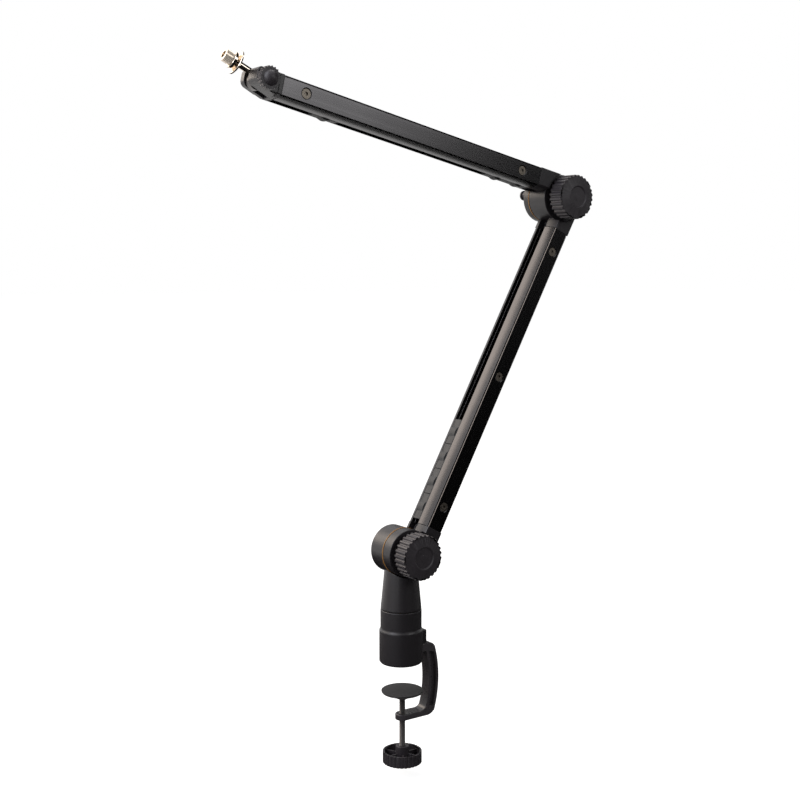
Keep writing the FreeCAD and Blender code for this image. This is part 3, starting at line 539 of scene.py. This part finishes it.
def along(point, axis):
    """The placement that lays Z on an axis through a point."""
    return Matrix.Translation(point) @ Vector(axis).to_track_quat("Z", "Y").to_matrix().to_4x4()


class BOOM_OT_finishes(bpy.types.Operator):
    """Make the materials and give each frame node its own"""
    bl_idname = "boom.finishes"
    bl_label = "Finishes"

    def execute(self, context):
        MATERIALS.update(finish_set(context.scene.boom_finishes))
        for node, piece in FRAME["nodes"].items():
            piece.data.materials.clear()
            piece.data.materials.append(material_for(node))
            piece.data.shade_smooth()
            piece.data.set_sharp_from_angle(angle=SHARP)
        return {"FINISHED"}


# edges of a tube longer than this run along the arm
LONG_EDGE = 200 * MM
# how squarely a flat side faces Y, and how squarely a back or a step faces its way, 1 being straight on
SIDE_FACING = 0.99
WAY_FACING = 0.9
# how deep the rails are let into the walls, and how far under the clips they lie
LEDGE_SUNK = 0.3 * MM
LEDGE_DROP = 0.1 * MM


class BOOM_OT_tubes(bpy.types.Operator):
    """Round the corners of the two extruded arm tubes and lay the rails that carry the clips"""
    bl_idname = "boom.tubes"
    bl_label = "Arm tubes"

    def execute(self, context):
        sizes = context.scene.boom_details
        for node, (root, _, clip) in TUBES.items():
            x, _, z = JOINTS[root]["pos_m"]
            place = Matrix.Translation((x, 0.0, z)) @ Matrix.Rotation(-arm_angle(node), 4, "Y")
            up = place.col[2].xyz
            work = merged_copy(node)
            bevel(work, self.long_edges(work, -up), sizes.back_corner)
            bevel(work, self.long_edges(work, up), sizes.shoulder)
            self.ledges(work, clip, sizes, place)
            ease(node, sizes.tube_edge, work)
        return {"FINISHED"}

    def long_edges(self, work, facing):
        """The long edges between the flat sides and what faces this way."""
        found = []
        for edge in work.edges:
            if edge.calc_length() > LONG_EDGE and edge.is_convex:
                one, other = sorted((face.normal for face in edge.link_faces), key=lambda n: abs(n.y))
                if abs(other.y) > SIDE_FACING and one.dot(facing) > WAY_FACING:
                    found.append(edge)
        return found

    def ledges(self, work, clip, sizes, place):
        """Narrow rails along the two walls of the slot, on which the clips sit."""
        local = place.inverted()
        foot = min((local @ v.co).z for v in FRAME["nodes"][clip].data.vertices)
        ends = [(local @ v.co).x for v in work.verts]
        low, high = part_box(clip)
        size = (max(ends) - min(ends), sizes.ledge_width + LEDGE_SUNK, sizes.ledge_thick)
        for wall, inward in ((low.y, 1), (high.y, -1)):
            rail = bmesh.ops.create_cube(work, size=1.0)["verts"]
            bmesh.ops.scale(work, verts=rail, vec=size)
            middle = ((max(ends) + min(ends)) / 2, wall + inward * (sizes.ledge_width - LEDGE_SUNK) / 2,
                      foot - LEDGE_DROP - sizes.ledge_thick / 2)
            bmesh.ops.transform(work, verts=rail, matrix=place @ Matrix.Translation(middle))


class BOOM_OT_castings(bpy.types.Operator):
    """Round the edges of the caps, the cable peg, the post, the collar, the bracket and the clamp pad"""
    bl_idname = "boom.castings"
    bl_label = "Castings"

    def execute(self, context):
        for node in CASTINGS:
            ease(node, context.scene.boom_details.cast_edge)
        return {"FINISHED"}


class BOOM_OT_knobs(bpy.types.Operator):
    """Round the teeth of the hand knobs and the clamp grip"""
    bl_idname = "boom.knobs"
    bl_label = "Knobs and grip"

    def execute(self, context):
        for node in KNOBS:
            ease(node, context.scene.boom_details.knob_edge)
        return {"FINISHED"}


class BOOM_OT_clips(bpy.types.Operator):
    """Round the cable clips"""
    bl_idname = "boom.clips"
    bl_label = "Cable clips"

    def execute(self, context):
        for node in sorted(NODE_BODY):
            if CABLE_CLIP in node:
                ease(node, context.scene.boom_details.clip_edge)
        return {"FINISHED"}


class BOOM_OT_screws(bpy.types.Operator):
    """Round the heads of the side screws and the pivot bolts"""
    bl_idname = "boom.screws"
    bl_label = "Screws and bolts"

    def execute(self, context):
        for node in sorted(NODE_BODY):
            if SIDE_SCREW in node or node in PIVOT_BOLTS:
                ease(node, context.scene.boom_details.screw_edge)
        return {"FINISHED"}


BUTTON_SIDES = 48


class BOOM_OT_clamp_screw(bpy.types.Operator):
    """Cut the clamp screw's thread"""
    bl_idname = "boom.clamp_screw"
    bl_label = "Clamp screw"

    def execute(self, context):
        sizes = context.scene.boom_details
        low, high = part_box("clamp_screw")
        neck = high.z - sizes.button_height
        work = bmesh.new()
        thread(work, sizes.clamp_screw, sizes.clamp_depth, sizes.clamp_pitch, low.z, neck)
        button = bmesh.ops.create_cone(work, cap_ends=True, segments=BUTTON_SIDES,
                                       radius1=sizes.button_radius, radius2=sizes.button_radius,
                                       depth=sizes.button_height)["verts"]
        bmesh.ops.translate(work, verts=button, vec=(0, 0, high.z - sizes.button_height / 2))
        middle = (low + high) / 2
        bmesh.ops.translate(work, verts=work.verts, vec=(middle.x, middle.y, 0.0))
        place_piece(work, "clamp_screw", "_threaded")
        return {"FINISHED"}


FLANGE_STEPS = 72
# the stem's faces this close to the tilt axis belong to its eye, which is painted black as shade between the
# fork's cheeks
SHADED_EYE_RADIUS = 10.8 * MM


class BOOM_OT_microphone_end(bpy.types.Operator):
    """Turn the knurled lock ring and the threaded adapter, and round the stem"""
    bl_idname = "boom.microphone_end"
    bl_label = "Microphone end"

    def execute(self, context):
        sizes = context.scene.boom_end
        mount = MOUNTS["mic_thread"]
        place = along(mount["pos_m"], mount["axis"])
        half = mount["dims"]["length_mm"] * MM / 2
        self.stem(context.scene.boom_details.screw_edge)
        self.adapter(sizes, place, mount["dims"]["r_mm"] * MM, half)
        self.lock_ring(sizes, place, -half - sizes.rim - sizes.gap)
        return {"FINISHED"}

    def stem(self, edge):
        """The stem is plated, and its eye between the fork's cheeks takes the black oxide finish as painted shade.
        """
        piece = ease("tip_stem", edge)
        # painted shade: the eye's faces are blackened to stand for the shade between the cheeks
        piece.data.materials.append(MATERIALS["black_steel"])
        x, _, z = JOINTS["tip_tilt"]["pos_m"]
        for face in piece.data.polygons:
            if math.hypot(face.center.x - x, face.center.z - z) < SHADED_EYE_RADIUS:
                face.material_index = 1

    def adapter(self, sizes, place, radius, half):
        work = bmesh.new()
        thread(work, radius, sizes.depth, sizes.pitch, -half - sizes.chamfer, half, bore=sizes.bore)
        back, front, edge = -half - sizes.rim, -half, sizes.chamfer
        turned(work, ((sizes.bore, back), (sizes.flange - edge, back), (sizes.flange, back + edge),
                      (sizes.flange, front - edge), (sizes.flange - edge, front), (sizes.bore, front)),
               FLANGE_STEPS)
        bmesh.ops.recalc_face_normals(work, faces=work.faces)
        bmesh.ops.transform(work, matrix=place, verts=work.verts)
        place_piece(work, "mic_adapter", "_threaded")

    def lock_ring(self, sizes, place, front):
        work = bmesh.new()
        back, edge, rim = front - sizes.ring_thick, sizes.chamfer, sizes.ring
        turned(work, ((sizes.bore, back), (rim - 2 * edge, back), (rim, back + edge), (rim, front - edge),
                      (rim - 2 * edge, front), (sizes.bore, front)), 2 * sizes.knurls)
        for vert in work.verts:
            across = vert.co.xy.length
            step = round(math.atan2(vert.co.y, vert.co.x) * sizes.knurls / math.pi)
            if across > rim - edge and step % 2:
                vert.co.xy *= (across - sizes.knurl_depth) / across
        bmesh.ops.recalc_face_normals(work, faces=work.faces)
        bmesh.ops.transform(work, matrix=place, verts=work.verts)
        place_piece(work, "lock_ring", "_knurled")


# the floor lies just under the grip when the clamp is wide open
FLOOR_LEVEL = CAD_BOX[0][2] + JOINTS["clamp_travel"]["range_m"][0] - 0.5 * MM
FLOOR_SIDE = 60.0
FLOOR_GLOW = 0.84
FLOOR_PAINT = (0.48, 0.48, 0.48, 1.0)
# share of the white surroundings' strength that falls as light
FILL_LIGHT = 0.35
# black cloths behind the camera, under the arm and at the right: width, depth and placement
CLOTH_LEVEL = CAD_BOX[0][2] - 0.2 * MM
CLOTHS = {
    "black_wall": (9.0, 4.0, along((1.0, -3.2, 2.0 + CLOTH_LEVEL), (0, 1, 0))),
    "black_ground": (6.0, 4.05, Matrix.Translation((1.6, -1.175, CLOTH_LEVEL))),
    "black_side": (7.0, 3.6, along((2.5, 0.4, 2.5), (-1, 0, 0))),
}
CLOTH_PAINT = (0.012, 0.012, 0.012, 1.0)
# each softbox: its place, the point it faces, its width and height, and its tint
LAMPS = {
    "back": ((-1.5, 2.3, 2.1), (0.1, 0.0, 0.4), 2.0, 2.1, "#fff0e0"),
    "left": ((-1.66, -0.16, 1.66), (0.1, 0.0, 0.4), 0.9, 2.1, "#f3f6ff"),
    "top": ((0.3, 0.7, 2.3), (0.0, 0.0, 0.4), 1.6, 1.2, "#ffffff"),
    "front": ((0.93, -2.18, 1.32), (0.0, 0.0, 0.7), 1.3, 0.8, "#ffffff"),
}


class BOOM_OT_stage(bpy.types.Operator):
    """Lay the floor, hang the lamps and set up the camera"""
    bl_idname = "boom.stage"
    bl_label = "Stage"

    def execute(self, context):
        stage = context.scene.boom_stage
        self.floor(stage)
        self.flags()
        self.world(context)
        for name, (at, aim, wide, high, tint) in LAMPS.items():
            self.lamp("softbox_" + name, at, aim, wide, high, getattr(stage, name), tint)
        self.camera(context)
        return {"FINISHED"}

    def seen(self, tree):
        """1 where the eye, a reflection or a see-through path looks, and 0 where light falls."""
        path = add(tree, "ShaderNodeLightPath").outputs
        looks = path["Is Camera Ray"]
        for ray in ("Is Glossy Ray", "Is Transmission Ray"):
            total = add(tree, "ShaderNodeMath", {0: looks, 1: path[ray]}, operation="ADD", use_clamp=True)
            looks = total.outputs[0]
        return looks

    def board(self, name, size_x, size_y, place):
        """A flat sheet of the stage."""
        work = bmesh.new()
        bmesh.ops.create_grid(work, x_segments=1, y_segments=1, size=0.5)
        bmesh.ops.scale(work, verts=work.verts, vec=(size_x, size_y, 1.0))
        bmesh.ops.transform(work, verts=work.verts, matrix=place)
        mesh = bpy.data.meshes.new(name)
        work.to_mesh(mesh)
        work.free()
        board = bpy.data.objects.new(name, mesh)
        bpy.context.scene.collection.objects.link(board)
        material = bpy.data.materials.new(name)
        material.use_nodes = True
        material.node_tree.nodes.clear()
        mesh.materials.append(material)
        return board, material.node_tree

    def floor(self, stage):
        # its own even white to the eye, and enough paint to hold a light shadow
        _, tree = self.board("floor", FLOOR_SIDE, FLOOR_SIDE, Matrix.Translation((0, 0, FLOOR_LEVEL)))
        level = add(tree, "ShaderNodeMath", {0: self.seen(tree), 1: FLOOR_GLOW}, operation="MULTIPLY")
        glow = add(tree, "ShaderNodeEmission", {"Color": tuple(stage.floor), "Strength": level.outputs[0]})
        paint = add(tree, "ShaderNodeBsdfDiffuse", {"Color": FLOOR_PAINT})
        both = add(tree, "ShaderNodeAddShader", {0: glow.outputs[0], 1: paint.outputs[0]})
        add(tree, "ShaderNodeOutputMaterial", {"Surface": both.outputs[0]})

    def flags(self):
        """Hang the black cloths, which only reflections meet."""
        for name, (wide, deep, place) in CLOTHS.items():
            cloth, tree = self.board(name, wide, deep, place)
            paint = add(tree, "ShaderNodeBsdfDiffuse", {"Color": CLOTH_PAINT})
            add(tree, "ShaderNodeOutputMaterial", {"Surface": paint.outputs[0]})
            cloth.visible_camera = False
            cloth.visible_diffuse = False
            cloth.visible_shadow = False
            cloth.visible_transmission = False

    def world(self, context):
        world = bpy.data.worlds.new("studio")
        world.use_nodes = True
        context.scene.world = world
        tree = world.node_tree
        tree.nodes.clear()
        level = add(tree, "ShaderNodeMapRange", {"Value": self.seen(tree),
                                                 "To Min": FILL_LIGHT, "To Max": 1.0})
        ground = add(tree, "ShaderNodeBackground", {"Color": (1, 1, 1, 1),
                                                    "Strength": level.outputs["Result"]})
        add(tree, "ShaderNodeOutputWorld", {"Surface": ground.outputs[0]})
        context.scene.view_settings.view_transform = "Standard"

    def lamp(self, name, at, aim, wide, high, power, tint):
        data = bpy.data.lights.new(name, "AREA")
        data.shape = "RECTANGLE"
        data.size = wide
        data.size_y = high
        data.energy = power
        data.color = linear(tint)[:3]
        lamp = bpy.data.objects.new(name, data)
        bpy.context.scene.collection.objects.link(lamp)
        lamp.location = at
        lamp.rotation_euler = (Vector(aim) - Vector(at)).to_track_quat("-Z", "Y").to_euler()

    def camera(self, context):
        # the photograph's view: from the front left, a little lower than the elbow, tilted down
        azimuth, yaw, pitch = math.radians(-34.72), math.radians(-34.67), math.radians(6.18)
        distance, height = 1.56658, 0.51994
        focal_pixels, frame_pixels = 1209.17, 800.0
        data = bpy.data.cameras.new("camera")
        data.sensor_fit = "HORIZONTAL"
        data.sensor_width = 36.0
        data.lens = data.sensor_width * focal_pixels / frame_pixels
        camera = bpy.data.objects.new("camera", data)
        bpy.context.scene.collection.objects.link(camera)
        camera.location = (math.sin(azimuth) * distance, -math.cos(azimuth) * distance, height)
        camera.rotation_euler = (math.pi / 2 - pitch, 0.0, yaw)
        context.scene.camera = camera


class BOOM_PT_panel(bpy.types.Panel):
    """Lists the arm's pieces"""
    bl_idname = "BOOM_PT_panel"
    bl_label = "Boom Arm"
    bl_space_type = "VIEW_3D"
    bl_region_type = "UI"
    bl_category = "Boom Arm"

    def draw(self, context):
        for operator in OPERATORS:
            self.layout.operator(operator.bl_idname)


GROUPS = {
    "boom_finishes": BoomFinishes,
    "boom_details": BoomDetails,
    "boom_end": BoomEnd,
    "boom_stage": BoomStage,
}
OPERATORS = (BOOM_OT_finishes, BOOM_OT_tubes, BOOM_OT_castings, BOOM_OT_knobs, BOOM_OT_clips,
             BOOM_OT_screws, BOOM_OT_clamp_screw, BOOM_OT_microphone_end, BOOM_OT_stage)


def register():
    for name, group in GROUPS.items():
        bpy.utils.register_class(group)
        setattr(bpy.types.Scene, name, bpy.props.PointerProperty(type=group))
    for operator in OPERATORS:
        bpy.utils.register_class(operator)
    bpy.utils.register_class(BOOM_PT_panel)


def unregister():
    bpy.utils.unregister_class(BOOM_PT_panel)
    for operator in reversed(OPERATORS):
        bpy.utils.unregister_class(operator)
    for name, group in reversed(GROUPS.items()):
        delattr(bpy.types.Scene, name)
        bpy.utils.unregister_class(group)


def main():
    register()
    bpy.ops.boom.finishes()
    bpy.ops.boom.tubes()
    bpy.ops.boom.castings()
    bpy.ops.boom.knobs()
    bpy.ops.boom.clips()
    bpy.ops.boom.screws()
    bpy.ops.boom.clamp_screw()
    bpy.ops.boom.microphone_end()
    bpy.ops.boom.stage()


if __name__ == "__main__":
    main()
